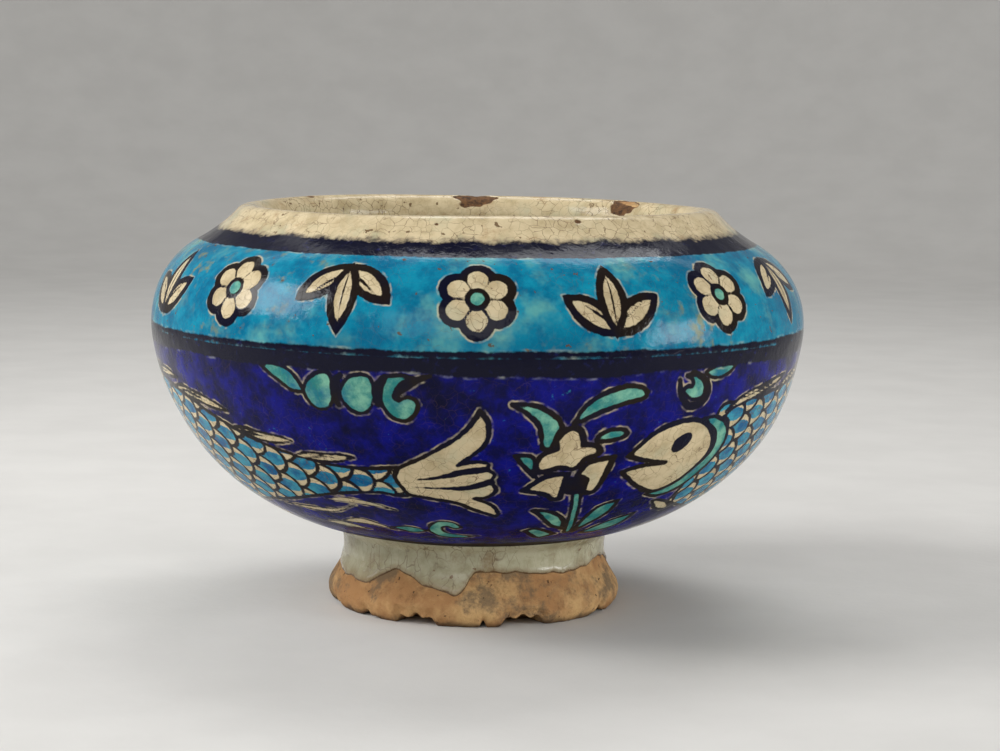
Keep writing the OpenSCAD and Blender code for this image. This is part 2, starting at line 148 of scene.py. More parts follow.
# The same arcs as the solids have, from the throat over the lip and down to the foot
depth = wall + 2 * glaze
shoulder_c = (belly_r - shoulder_r, belly_z)
lower_c = polar(shoulder_c, shoulder_r - lower_r, waist_a)
lip_c = (rim_r, height - lip_r)
hollow_c = meet(shoulder_c, shoulder_r + hollow_r, lip_c, lip_r + hollow_r)
nose_r = (math.dist(lip_c, shoulder_c) - shoulder_r + depth + lip_r) / 2 + nose_swell
nose_c = meet(shoulder_c, shoulder_r - depth + nose_r, lip_c, nose_r - lip_r)
rim_a = bearing(shoulder_c, hollow_c)
throat_a = bearing(shoulder_c, nose_c)
lip_in_a = bearing(nose_c, lip_c)
lip_out_a = bearing(lip_c, hollow_c)
line_top_a = 180 + math.degrees(math.asin((hollow_c[1] - shoulder_line_z) / hollow_r))
band_low_a = math.degrees(math.asin((band_low_z - belly_z) / shoulder_r))
band_mid_a = (rim_a + band_low_a) / 2
toe_c = (foot_r - toe_r, toe_z)
neck_x = foot_neck_r + neck_r
neck_c = (neck_x, toe_z + math.sqrt((toe_r + neck_r) ** 2 - (neck_x - toe_c[0]) ** 2))
foot_out = meet(lower_c, lower_r, neck_c, neck_r)
foot_out_a = bearing(lower_c, foot_out)
foot_line_a = foot_out_a + math.degrees(foot_line_w / lower_r)
neck_top_a = bearing(neck_c, foot_out)
neck_low_a = bearing(neck_c, toe_c) + 360
under_z = lower_c[1] - lower_r

rim_path = chain(
    arc(nose_c, nose_r, throat_a + 180, lip_in_a),
    arc(lip_c, lip_r, lip_in_a, lip_out_a),
    arc(hollow_c, hollow_r, lip_out_a + 180, line_top_a),
)
shoulder_line_path = arc(hollow_c, hollow_r, line_top_a, rim_a + 180)
band_path = arc(shoulder_c, shoulder_r, rim_a, band_low_a)
waist_path = arc(shoulder_c, shoulder_r, band_low_a, waist_a)
cobalt_path = arc(lower_c, lower_r, waist_a, foot_line_a)
foot_line_path = arc(lower_c, lower_r, foot_line_a, foot_out_a)
lining_path = chain(
    straight((0, under_z + depth), (lower_c[0], under_z + depth), 1.0),
    arc(lower_c, lower_r - depth, -90, waist_a, 1.0),
    arc(shoulder_c, shoulder_r - depth, waist_a, throat_a, 1.0),
)
outside = chain(shoulder_line_path, band_path, waist_path, cobalt_path, foot_line_path)


def in_space(az, r, z):
    """Points at an azimuth, a distance from the axis and a height."""
    a = np.radians(az)
    return np.stack(np.broadcast_arrays(r * np.sin(a), -r * np.cos(a), z), axis=-1)


def on_bowl(az, z):
    """Points of the bowl's outer face."""
    return in_space(az, np.interp(z, outside[::-1, 1], outside[::-1, 0]), z)


def az_from(az, origin):
    """Azimuth counted from another one, between -180 and 180."""
    return (az - origin + 180) % 360 - 180


def noise_at(points, size, seed):
    """Smooth noise from -1 to 1 with features of a size, at points in millimetres."""
    shift = Vector((seed * 17.3, seed * 5.1, seed * 9.7))
    return np.array([noise.noise(Vector(p) / size + shift) for p in points])


def warp(az, r, z):
    """How the hand-thrown bowl leaves the true circle: fuller on the right, with a rim that waves."""
    a = np.radians(az)
    low_z = 22
    belly = np.sin(np.pi * np.clip((z - low_z) / (belly_z - low_z), 0, 1)) ** 2
    fuller = 0.33 + 0.6 * np.cos(a - np.radians(80))
    uneven = 0.13 * np.sin(3 * a + z / 9) + 0.07 * np.sin(8 * a - z / 5 + 1)
    wave = 0.28 * np.sin(2 * a + 0.6) + 0.12 * np.sin(5 * a + 1.1)
    return r + fuller * belly + uneven, z + wave * smooth(z, 95, 108)


# Meshes


def put(name, data):
    """New object in the scene."""
    piece = bpy.data.objects.new(name, data)
    bpy.context.collection.objects.link(piece)
    return piece


def store(mesh, name, values):
    """Keeps a value for each point of a mesh, for its material to read."""
    layer = mesh.attributes.new(name, "FLOAT", "POINT")
    layer.data.foreach_set("value", values.ravel().astype(np.float32))


def lathe(name, az, r, z, whole, closed=True):
    """Solid with a closed section at each azimuth, or a sheet with an open one.

    r and z hold a row of points for each section."""
    points = in_space(az[:, None], r, z).reshape(-1, 3)
    columns, rows = r.shape
    c = np.arange(columns if whole else columns - 1)[:, None]
    i = np.arange(rows if closed else rows - 1)[None, :]
    next_c = (c + 1) % columns
    next_i = (i + 1) % rows
    corners = (c * rows + i, c * rows + next_i, next_c * rows + next_i, next_c * rows + i)
    faces = np.stack(corners, axis=-1).reshape(-1, 4).tolist()
    if not whole:
        faces.append(list(range(rows))[::-1])
        faces.append([(columns - 1) * rows + k for k in range(rows)])
    mesh = bpy.data.meshes.new(name)
    mesh.from_pydata((points * MM).tolist(), [], faces)
    mesh.shade_smooth()
    mesh.set_sharp_from_angle(angle=math.radians(40))
    return put(name, mesh)


def lay_out(mesh, columns, row_v, sectors):
    """Picture layout: the turn is cut into sectors, laid out one above the other."""
    per = math.ceil(columns / sectors)
    c = np.arange(columns)[:, None]
    i = np.arange(len(row_v) - 1)[None, :]
    left = (c % per) / per
    left, right, low, high = np.broadcast_arrays(left, left + 1 / per, row_v[i], row_v[i + 1])
    u = np.stack([left, left, right, right], axis=-1)
    v = np.stack([low, high, high, low], axis=-1)
    gap = 0.006
    u = gap + (1 - 2 * gap) * u
    v = ((c // per)[:, :, None] + gap + (1 - 2 * gap) * v) / sectors
    flat = np.full((len(mesh.loops), 2), 1 - gap / 4)
    flat[: u.size] = np.stack([u, v], axis=-1).reshape(-1, 2)
    layer = mesh.uv_layers.new(name="OFBake")
    layer.uv.foreach_set("vector", flat.ravel())


def skin(name, path, columns=COLUMNS, turn=(-180, 180), sectors=4, move=warp, dents=None):
    """Thin closed skin on an outline turned about the axis, and the place of each of its points.

    Dents say how far the face lies below the outline at an azimuth and a distance along the outline."""
    whole = turn[1] - turn[0] == 360
    az = np.linspace(*turn, columns + 1)[: columns if whole else None]
    keep = np.linspace(0, len(path) - 1, 2 + len(path) // UNDER_ROWS).astype(int)
    under = (path - 0.9 * glaze * normals(path))[keep][::-1]
    loop = np.concatenate([path, under])
    s = lengths(path)
    along = np.concatenate([s, s[keep][::-1]])
    way = np.concatenate([normals(path), 0 * under])
    deep = dents(az[:, None], along[None, :]) if dents else 0
    r, z = move(az[:, None], loop[:, 0] - deep * way[:, 0], loop[:, 1] - deep * way[:, 1])
    r, z, *places = np.broadcast_arrays(r, z, az[:, None], loop[:, 1], along)
    piece = lathe(name, az, r, z, whole)
    row_v = np.concatenate([np.linspace(0, 0.9, len(path)), np.linspace(0.92, 0.98, len(under)), [1]])
    lay_out(piece.data, columns, row_v, sectors)
    return piece, [p.ravel() for p in places]


# Painting


def spline(points, closed=False):
    """Smooth path through points."""
    p = np.array(points, float)
    if closed:
        p = np.concatenate([p[-1:], p, p[:2]])
    else:
        p = np.concatenate([[2 * p[0] - p[1]], p, [2 * p[-1] - p[-2]]])
    t = np.linspace(0, 1, 8, endpoint=False)[:, None]
    spans = []
    for a, b, c, d in zip(p, p[1:], p[2:], p[3:]):
        bend = (2 * a - 5 * b + 4 * c - d) * t**2 + (3 * b - a - 3 * c + d) * t**3
        spans.append(b + ((c - a) * t + bend) / 2)
    if not closed:
        spans.append(p[-2:-1])
    return np.concatenate(spans)


def outline(*stretches):
    """Closed path, smooth within each stretch, with a corner at each stretch's last point."""
    if len(stretches) == 1:
        return spline(stretches[0], closed=True)
    parts = []
    corner = stretches[-1][-1]
    for stretch in stretches:
        parts.append(spline([corner] + stretch)[:-1])
        corner = stretch[-1]
    return np.concatenate(parts)


def within(x, y, path):
    """True for the points inside a closed path."""
    odd = np.zeros(len(x), bool)
    for (ax, ay), (bx, by) in zip(path, np.roll(path, -1, axis=0)):
        if ay != by:
            crossed = (ay > y) != (by > y)
            odd ^= crossed & (x < ax + (bx - ax) * (y - ay) / (by - ay))
    return odd


class Painting:
    """What is painted on a skin: the distance from each of its points to the edge of each colour.

    Distances are in millimetres and less than zero inside the colour."""

    def __init__(self, az, z):
        self.az = az
        self.z = z
        self.xyz = on_bowl(az, z)
        self.line, self.ring, self.bare, cream, leaf = np.full((5, len(az)), FAR)
        self.fill = {"cream": cream, "leaf": leaf}
        self.wash = np.zeros(len(az))

    def near(self, path):
        """Points near a path, their azimuths from its middle, and the path from there too.

        Near is within FAR, in degrees round the axis and in millimetres of height."""
        low, high = path.min(axis=0), path.max(axis=0)
        middle = (low + high) / 2
        half = (high - low) / 2 + FAR
        off = az_from(self.az, middle[0])
        i = np.nonzero((np.abs(off) < half[0]) & (np.abs(self.z - middle[1]) < half[1]))[0]
        return i, off[i], path - (middle[0], 0)

    def to_path(self, i, path, half_widths):
        """Distance from the points i to a brush stroke along a path."""
        p = self.xyz[i]
        knots = on_bowl(path[:, 0], path[:, 1])
        best = np.full(len(i), FAR)
        for a, b, half in zip(knots, knots[1:], half_widths):
            way = b - a
            t = np.clip((p - a) @ way / max(way @ way, 1e-9), 0, 1)
            best = np.minimum(best, np.linalg.norm(p - a - t[:, None] * way, axis=1) - half)
        return best

    def to_shape(self, path):
        """Points near a closed path, and their distance to it, less than zero inside."""
        i, off, flat = self.near(path)
        ring = np.concatenate([path, path[:1]])
        d = self.to_path(i, ring, np.zeros(len(path)))
        return i, np.where(within(off, self.z[i], flat), -d, d)

    def draw(self, i, d):
        """Adds dark lines to the points i, at the distances d from their edges."""
        self.line[i] = np.minimum(self.line[i], d)

    def cover(self, i, d, fill, edge):
        """Paints over what was there, then draws the edge."""
        self.line[i] = np.maximum(self.line[i], -d)
        for other in self.fill.values():
            other[i] = np.maximum(other[i], -d)
        self.wash[i] = np.where(d < 0, 0, self.wash[i])
        self.fill[fill][i] = np.minimum(self.fill[fill][i], d)
        self.draw(i, np.abs(d) - edge / 2)

    def shape(self, path, fill, edge):
        self.cover(*self.to_shape(path), fill, edge)

    def dark(self, path):
        self.draw(*self.to_shape(path))

    def stroke(self, path, *widths):
        """Dark stroke with widths at even distances along it."""
        i = self.near(path)[0]
        t = np.linspace(0, len(widths) - 1, len(path) - 1)
        half = np.interp(t, range(len(widths)), widths) / 2
        self.draw(i, self.to_path(i, path, half))

    def keep(self, mesh):
        """Stores the distances on a mesh, where the enamel material reads them."""
        layers = {"line": self.line, "ring": self.ring, "bare": self.bare, "wash": self.wash, **self.fill}
        for name, values in layers.items():
            store(mesh, name, np.clip(values, -FAR, FAR))


# Drawings, as azimuth and height on the front of the bowl; the back has each of them once more

TAIL = outline(
    [(-9, 52), (-5.5, 55), (-2.5, 58), (-0.5, 61.5), (0.7, 64.5)],
    [(2, 61.5), (2, 57), (0.5, 54), (-3, 50)],
    [(0, 51), (2.3, 50.5), (2, 49)],
    [(3.5, 47.5), (3, 45.5)],
    [(4, 43), (2.5, 41), (0, 40.5)],
    [(3.5, 38.5), (5, 36), (4.5, 35)],
    [(0, 37), (-3.5, 39), (-8, 40), (-13, 41)],
    [(-14.8, 45.5), (-14, 48.5)],
)
TAIL_RAYS = [
    spline([(2, 49), (-2.5, 48), (-5, 47), (-8, 46), (-11, 45.5)]),
    spline([(3, 45.5), (-1, 43.7), (-5, 43.3), (-12, 43.3)]),
]

TOP_PETALS = outline(
    [(10.7, 50.5), (11.6, 53), (14, 54.5)],
    [(13.7, 57), (15.4, 59.7), (17.5, 59.3), (18.6, 55.5)],
    [(21, 55), (21.8, 53), (19.5, 51.5), (18.5, 49.5)],
    [(17.4, 48.8), (15, 49.4), (13, 48.4), (11.2, 48)],
)
LEFT_PETAL = outline(
    [(12.4, 46.4), (14.4, 47.4), (17, 47.5)],
    [(16.8, 44), (17, 40.3)],
    [(15.4, 40.2), (13.6, 41.7), (9.2, 42.9)],
)
RIGHT_PETAL = outline(
    [(20.5, 50.5), (18.8, 47)],
    [(21, 45.5), (21, 42)],
    [(23.5, 42), (24.3, 45.8), (24.8, 51.8)],
)
HEART = outline([(18.4, 46.8), (21.2, 46.2), (21.4, 43.8), (19.4, 41.4), (16.9, 42.2), (16.4, 45)])
STEM = outline(
    [(20.4, 37.7), (21.7, 33.5), (23.7, 28.8)],
    [(24.6, 28.4), (25.5, 28.9)],
    [(23.5, 33.6), (22.1, 37.7), (21, 41.6)],
    [(20.2, 41.9), (19.4, 41.4)],
)
FLOWER_LEAVES = [
    outline([(16, 36.2), (20, 33.8), (22.3, 30)], [(18, 31.7), (14.5, 34.9), (12.3, 36.8)]),
    outline([(25.5, 32.6), (27, 37), (30.8, 38.7)], [(30.5, 34.5), (26.2, 28.7)]),
    outline([(32, 30.5), (35, 32.2), (39.5, 33.7)], [(38.5, 29.7), (33.5, 27.8), (29.3, 28)]),
    outline([(15.5, 30.4), (21.6, 28.1)], [(17.5, 26.9), (12.6, 29.8)]),
    outline(
        [(9.7, 65.8), (13, 63), (14.3, 60.4)],
        [(13.5, 57.5), (12.8, 54.5)],
        [(11.4, 54.5)],
        [(10.4, 60.3), (8.5, 63.5), (5.8, 66.2)],
    ),
    outline(
        [(17.5, 65), (20, 68), (24, 70.2), (27, 70), (28.6, 68.5)],
        [(28, 67), (25, 66), (21, 64.2), (18.5, 62.5), (16.2, 61)],
    ),
    outline([(21, 56.2), (21.2, 58), (23, 59.2), (25.2, 59.1), (26.1, 57.8), (24.5, 56.6)]),
    outline([(10, 52.2), (10.8, 46.9)], [(8.3, 50.2), (6.9, 52.8)]),
]

HEAD = outline(
    [(31.7, 57.7), (36.8, 60.2), (41.7, 59.6), (46, 55.2)],
    [(47.2, 51), (45.5, 46.3), (42.9, 42.5), (39, 40.5), (35.3, 41.3)],
    [(31.5, 43.7), (27.6, 47.3)],
    [(31.5, 48.7), (36.7, 49)],
    [(31, 50.4), (27.7, 51.8)],
)
EYE = outline([
    (36.4, 54.6), (37.6, 56.4), (39.4, 57), (40.4, 55.7), (39.9, 53.6), (38.4, 51.8), (36.8, 52.1),
])
COLLAR = outline(
    [(44.8, 60.5), (48.5, 58.2), (50.4, 54.2), (50.3, 49.5), (48.2, 44.4), (45.3, 40.5), (41, 38.8),
     (37.1, 39.7)],
    [(39.5, 40.8), (43.5, 43.2), (46, 46.8), (47.7, 51), (46.6, 55.4), (44.5, 58), (41.8, 60.3)],
)
CHEEK_FIN = outline([(43, 37.2), (47.1, 36), (50.5, 34)], [(48.8, 33.4), (44.6, 34.5), (40.9, 37.3)])
BACK = [
    (45, 61), (51, 63.7), (59, 64.5), (75, 66.5), (92, 67), (107, 64.5), (119, 61), (128, 57),
    (138.5, 52), (149, 49), (158, 47.8), (166, 48.8),
]
BELLY = [
    (167, 41), (161, 41.2), (154, 40.3), (148, 39), (136, 36), (125, 34), (110, 31.5), (90, 30),
    (70, 31), (56, 33.5), (47, 36),
]
BODY = outline(BACK, BELLY)
back_line = spline(BACK)
belly_line = spline(BELLY)[::-1]
BELLY_FLAMES = [
    outline([(141, 34.3), (147, 34.5), (154, 36.6)], [(147, 33.6), (139, 33.2), (131, 33.8)]),
    outline([(152, 38.6), (157.5, 38), (163, 36)], [(156.5, 37), (147, 37.6)]),
]

SCROLL_LEAVES = [
    outline(
        [(-34.4, 74), (-31.4, 72.8), (-29.6, 70), (-28.9, 67.4)],
        [(-31.2, 67.6), (-33.6, 69.8), (-35.6, 71.8), (-37, 73.6)],
    ),
    outline([
        (-28.8, 68.2), (-27, 71.7), (-24.2, 73), (-23.3, 69.6), (-23.6, 66.1), (-24.7, 63.7), (-26.7, 63.3),
        (-28.2, 65.1),
    ]),
    outline([
        (-22.2, 67.6), (-20.9, 71.3), (-18.9, 72.7), (-17, 72.2), (-16.3, 69.4), (-16.6, 66.2),
        (-17.7, 63.4), (-19.6, 62.9), (-21.2, 64.4),
    ]),
    outline(
        [(-15, 69.5), (-15.2, 66.3), (-14.5, 63.6), (-13.1, 61.8), (-11.4, 61.4), (-9.9, 63), (-9.2, 65.3),
         (-9.7, 66.9), (-10.9, 67.4), (-12, 66.7)],
        [(-13, 68), (-12, 70.5), (-10, 72.5)],
        [(-12, 73), (-14.1, 72.5)],
    ),
    outline(
        [(37.9, 72.1), (39.9, 70.2), (40.4, 67.7), (39.6, 66.1), (37.8, 65.9), (36.1, 67.5), (35.6, 68.5),
         (36.6, 69.3), (37.5, 69.1)],
        [(37.7, 69.7), (37.2, 71.2), (35.9, 72.1)],
    ),
    outline([
        (40.2, 72.7), (42.3, 73.9), (44.8, 74.3), (47, 73.9), (46.5, 72.6), (45, 71.4), (42.8, 70.9),
        (41.1, 71.5),
    ]),
]
SCROLL_STROKES = [
    spline([(-21.7, 72.5), (-22.9, 70.3), (-23.2, 67.5), (-22.7, 64.6)]),
    spline([(-14.5, 72.6), (-15.6, 70.1), (-16, 67.8), (-15.8, 65.2)]),
    spline([(-7.2, 73), (-9.4, 71.8), (-11.1, 70.3), (-12.3, 69), (-12.8, 67.4), (-12.3, 66.5)]),
    spline([
        (34.7, 71), (35.2, 67.5), (36.9, 64.6), (38.5, 64.1), (40.4, 65.3), (41.2, 67.6), (40.3, 70.5),
        (37.3, 72.9),
    ]),
]

# Small brushwork round the foot: slivers, and a curl at the front
FOOT_SLIVERS = [
    outline([(-41, 29.6), (-34.5, 30), (-28, 28.4)], [(-35, 28.6), (-47, 30)]),
    outline([(-31, 31.6), (-26.5, 32), (-20, 29)], [(-26, 30.2), (-34, 30.4)]),
    outline([(52, 27.4), (58, 29), (66, 31.6)], [(58, 27.8), (46, 26.2)]),
    outline([(84, 28.4), (92, 29.6), (99, 28.6)], [(90, 27.6), (78, 27.4)]),
    outline([(110, 29.4), (117, 30.4), (124, 28.6)], [(116, 28.2), (104, 27.6)]),
]
FOOT_LEAVES = [
    outline([(-16, 30.6), (-11.5, 29.4)], [(-16, 28.6), (-21, 30)]),
    outline([(70, 29.8), (76, 29)], [(71, 27.8), (65, 28.2)]),
]
FOOT_CURL = outline(
    [(-10.3, 31.6), (-7.8, 33), (-4.8, 32.6), (-2.8, 31)],
    [(-4.8, 30.6), (-6.4, 31.4), (-7.8, 30.6), (-7, 29), (-3, 28.2), (1, 28)],
    [(-4, 27.2), (-9, 27.6), (-11.4, 29.4)],
)


# Spikes of the back fin: where each starts, how long it is and how far its tip rises
FIN_SPIKES = [
    (145, 13, 3), (131, 15, 4), (112, 20, 4.6), (96, 20, 4), (80, 20, 3.6), (64, 20, 3), (47, 20, 3.2),
]


def over_back(az, rise):
    """Place at an azimuth, a distance above the fish's back."""
    return az, np.interp(az, back_line[:, 0], back_line[:, 1]) + rise


def fin_spike(start, length, rise):
    """Slender spike that leaves the back and points towards the tail, and the stroke along its middle."""
    base = over_back(start, -0.4)
    tip = over_back(start + length, rise)
    upper = [over_back(start + t * length, rise * t**0.8 + 0.8) for t in (0.25, 0.55, 0.8)]
    lower = [over_back(start + t * length, rise * t**1.3 - 0.7) for t in (0.8, 0.5)]
    middle = [over_back(start + t * length, rise * t + 0.1) for t in (0.2, 0.45, 0.75)]
    return outline(upper + [tip], lower + [base]), spline(middle)


def paint_scales(painting, turn):
    """Scales with a blue brush mark each, from the tail to the head, each lapped by the one before it."""
    # Where the scales start, how many steps they run along the fish and how many rows lie to each side
    head_az = 45
    steps = 34
    rows_aside = 5
    # The scales' own millimetres for a degree along and a millimetre across
    per_degree = 1.32
    across = 1.15
    # Spacing, size and stretch of the scales, and place, size and stretch of the mark on each
    pitch = 9.8
    row = 4.3
    size = 4.6
    stretch = 1.28
    half_line = 0.5
    mark_at = 1.5
    mark_r = 2.1
    mark_stretch = 1.45
    i, d_body = painting.to_shape(BODY + (turn, 0))
    az = (painting.az[i] - turn) % 360
    back = np.interp(az, back_line[:, 0], back_line[:, 1])
    belly = np.interp(az, belly_line[:, 0], belly_line[:, 1])
    u = (az - head_az) * per_degree
    v = (painting.z[i] - (back + belly) / 2) * across
    line = np.full(len(i), FAR)
    wash = np.zeros(len(i))
    for step in range(steps, -1, -1):
        for k in range(-rows_aside, rows_aside + 1):
            if (k + step) % 2 == 0:
                du = (u - step * pitch / 2) / stretch
                dv = v - k * row
                d = np.hypot(du, dv) - size
                mark = np.hypot((du - mark_at) / mark_stretch, dv) - mark_r
                wash = np.where(d < 0, 1 - smooth(mark, -0.35, 0.35), wash)
                line = np.minimum(np.maximum(line, -d), np.abs(d) - half_line)
    inside = d_body < 0
    j = i[inside]
    painting.draw(j, line[inside])
    painting.wash[j] = wash[inside]


def paint_fish(painting, turn):
    shift = (turn, 0)
    tail_shift = (turn + 180, 0)
    for flame in BELLY_FLAMES:
        painting.shape(flame + shift, "cream", 0.6)
    painting.shape(BODY + shift, "cream", 1.3)
    paint_scales(painting, turn)
    for spike in FIN_SPIKES:
        edge, middle = fin_spike(*spike)
        painting.shape(edge + shift, "cream", 1.0)
        painting.stroke(middle + shift, 0.4, 0.9, 0.2)
    painting.shape(TAIL + tail_shift, "cream", 1.4)
    for ray in TAIL_RAYS:
        painting.stroke(ray + tail_shift, 2.4, 2.0, 1.2, 0.5)
    painting.shape(CHEEK_FIN + shift, "cream", 1.3)
    painting.shape(COLLAR + shift, "leaf", 1.4)
    painting.shape(HEAD + shift, "cream", 1.6)
    painting.dark(EYE + shift)


def paint_flower(painting, turn):
    shift = (turn, 0)
    for leaf in FLOWER_LEAVES:
        painting.shape(leaf + shift, "leaf", 1.5)
    painting.shape(STEM + shift, "leaf", 1.0)
    for petal in (TOP_PETALS, LEFT_PETAL, RIGHT_PETAL):
        painting.shape(petal + shift, "cream", 1.8)
    painting.dark(HEART + shift)


def paint_scrolls(painting, turn):
    shift = (turn, 0)
    for leaf in SCROLL_LEAVES:
        painting.shape(leaf + shift, "leaf", 1.2)
    for stroke in SCROLL_STROKES:
        painting.stroke(stroke + shift, 1.4, 2.6, 2.6, 1.6)


def paint_foot_edge(painting, turn):
    shift = (turn, 0)
    for sliver in FOOT_SLIVERS:
        painting.shape(sliver + shift, "cream", 0.7)
    for leaf in FOOT_LEAVES + [FOOT_CURL]:
        painting.shape(leaf + shift, "leaf", 0.9)


def paint_cobalt(painting):
    for turn in (0, 180):
        paint_foot_edge(painting, turn)
        paint_scrolls(painting, turn)
        paint_fish(painting, turn)
    for turn in (0, 180):
        paint_flower(painting, turn)


def paint_rim(painting):
    painting.fill["cream"][:] = -FAR


# Band ornament, drawn flat on the band's tangent plane
rosette_n = 8
rosette_petals = 6
rosette_petal_r = 3.6
rosette_reach = 5.6
rosette_heart_r = 2.4
seam_at = 4.6
seam_half = 1.6
seam_w = 0.7
palmette_len = 17
palmette_w = 6
palmette_turn = 52
palmette_side = 0.88
vein_start = 0.12
vein_len = 0.7
vein_w = 0.7
band_edge = 2.1
heart_edge = 1.47
ornament_reach = 25


def band_plane(painting, az):
    """Points round a place on the band, and their coordinates to the right and up from it."""
    a = math.radians(az)
    r, z = polar(shoulder_c, shoulder_r, band_mid_a)
    right = np.array([math.cos(a), math.sin(a), 0])
    out = np.array([math.sin(a), -math.cos(a), 0])
    tilt = math.radians(band_mid_a)
    up = -math.sin(tilt) * out + np.array([0, 0, math.cos(tilt)])
    off = painting.xyz - (r * out + np.array([0, 0, z]))
    x = off @ right
    y = off @ up
    i = np.nonzero((np.hypot(x, y) < ornament_reach) & (painting.xyz @ out > 0))[0]
    return i, x[i], y[i]


def leaf_distance(x, y, length, width, turn):
    """Distance to a leaf pointed at both ends, standing on the origin and turned to the left."""
    a = math.radians(turn)
    lx = x * math.cos(a) + y * math.sin(a)
    ly = y * math.cos(a) - x * math.sin(a)
    r = (length**2 + width**2) / (4 * width)
    off = r - width / 2
    return np.maximum(np.hypot(lx - off, ly - length / 2), np.hypot(lx + off, ly - length / 2)) - r


def paint_rosette(painting, az):
    i, x, y = band_plane(painting, az)
    d = np.hypot(x, y) - rosette_reach
    seams = np.full(len(i), FAR)
    for k in range(rosette_petals):
        a = 2 * math.pi * k / rosette_petals
        petal_x = -rosette_reach * math.sin(a)
        petal_y = rosette_reach * math.cos(a)
        d = np.minimum(d, np.hypot(x - petal_x, y - petal_y) - rosette_petal_r)
        b = a + math.pi / rosette_petals
        along = -x * math.sin(b) + y * math.cos(b)
        across = np.abs(x * math.cos(b) + y * math.sin(b))
        seams = np.minimum(seams, np.maximum(across - seam_w / 2, np.abs(along - seam_at) - seam_half))
    painting.cover(i, d, "cream", band_edge)
    painting.draw(i, seams)
    painting.cover(i, np.hypot(x, y) - rosette_heart_r, "leaf", heart_edge)


def paint_palmette(painting, az, hanging):
    i, x, y = band_plane(painting, az)
    if hanging:
        y = -y
    y = y + palmette_len / 2
    parts = [(side * palmette_turn, palmette_side * palmette_len) for side in (-1, 1)]
    for turn, length in parts + [(0, palmette_len)]:
        d = leaf_distance(x, y, length, palmette_w, turn)
        painting.cover(i, d, "cream", band_edge)
        vein_y = y - vein_start * length * math.cos(math.radians(turn))
        painting.draw(i, leaf_distance(x, vein_y, vein_len * length, vein_w, turn))


def paint_band(painting):
    for k in range(rosette_n):
        step = 360 / rosette_n
        paint_rosette(painting, k * step)
        paint_palmette(painting, (k + 0.5) * step, k % 2 == 1)


# Materials


def srgb(r, g, b):
    """Screen colour, each part from 0 to 255, in the linear values that a material takes."""
    parts = [c / 255 for c in (r, g, b)]
    return tuple(c / 12.92 if c < 0.04045 else ((c + 0.055) / 1.055) ** 2.4 for c in parts) + (1.0,)


CREAM = srgb(208, 191, 155)
CREAM_DULL = srgb(176, 158, 122)
CREAM_GREEN = srgb(176, 178, 150)
CREAM_BROWN = srgb(136, 114, 80)
COBALT = srgb(8, 12, 122)
COBALT_DEEP = srgb(3, 5, 60)
COBALT_DARK = srgb(2, 3, 32)
COBALT_PALE = srgb(64, 76, 190)
TURQUOISE = srgb(18, 142, 170)
TURQUOISE_DEEP = srgb(4, 98, 134)
TURQUOISE_PALE = srgb(112, 180, 166)
TURQUOISE_DARK = srgb(2, 74, 112)
LEAF = srgb(126, 184, 158)
LEAF_DEEP = srgb(40, 124, 122)
LEAF_BLUE = srgb(16, 98, 136)
SCALE = srgb(58, 150, 172)
SCALE_DEEP = srgb(4, 84, 134)
INK = srgb(30, 23, 19)
INK_BLUE = srgb(13, 14, 34)
INK_WORN = srgb(72, 58, 50)
RING_BLUE = srgb(24, 28, 74)
RING_WORN = srgb(86, 76, 66)
RING_BROWN = srgb(40, 28, 20)
CLAY = srgb(172, 128, 84)
CLAY_PALE = srgb(206, 168, 116)
CLAY_DARK = srgb(114, 82, 54)
CLAY_GREY = srgb(112, 96, 76)
STAIN = srgb(58, 44, 36)
RIM_STAIN = srgb(146, 108, 64)
GLAZE_STAIN = srgb(132, 110, 76)
GLAZE_THIN = srgb(120, 92, 58)
RUST = srgb(134, 130, 76)
BROWN = srgb(92, 66, 42)
LINING = srgb(202, 200, 172)
LINING_DULL = srgb(176, 178, 148)
LINING_POOL = srgb(142, 160, 132)
FOOT_COAT = srgb(186, 182, 154)
FOOT_COAT_DULL = srgb(152, 146, 116)
FOOT_COAT_POOL = srgb(146, 124, 86)
FLOOR = srgb(214, 212, 208)
FLOOR_DULL = srgb(208, 206, 202)

# Heights between which one ground gives way to the next; the dark rings cover most of each change
COBALT_TOP = (76.5, 77.1)
BAND_TOP = (102.2, 103.2)


